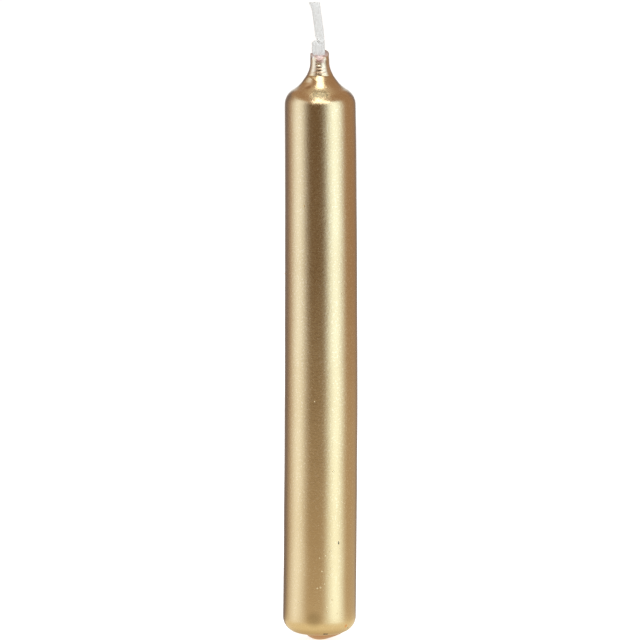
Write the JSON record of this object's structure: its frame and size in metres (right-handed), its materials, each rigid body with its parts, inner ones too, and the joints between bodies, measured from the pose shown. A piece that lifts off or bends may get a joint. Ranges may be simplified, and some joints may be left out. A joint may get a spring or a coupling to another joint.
{
  "type": "christmas tree candle",
  "caption": "Slim straight dipped candle in metallic gold lacquer, with a drawn-in shoulder and neck, a flat braided wick and a set drip under its round base; stands in a clip-on tree holder.",
  "frame": {"origin": "on the candle's axis, at the tip of the drip under its base", "axes": "+Z along the candle towards the wick, +X to the right as seen from the front, where the neck's rim is lowest"},
  "size_m": [0.013, 0.013, 0.1139],
  "materials": {
    "cotton_braid": "waxed flat cotton braid",
    "core_wax": "drawn paraffin wax, satin",
    "overdip_wax": "dipped wax, translucent satin",
    "gold_lacquer": "metallic gold dip lacquer, semi-gloss",
    "drip_lacquer": "metallic gold dip lacquer, semi-gloss, set as a drop"
  },
  "bodies": {
    "root": {"wick": "cotton_braid", "wax_core": "core_wax", "dip_coat": "overdip_wax", "gold_lacquer": "gold_lacquer", "drip_bead": "drip_lacquer"}
  },
  "joints": []
}
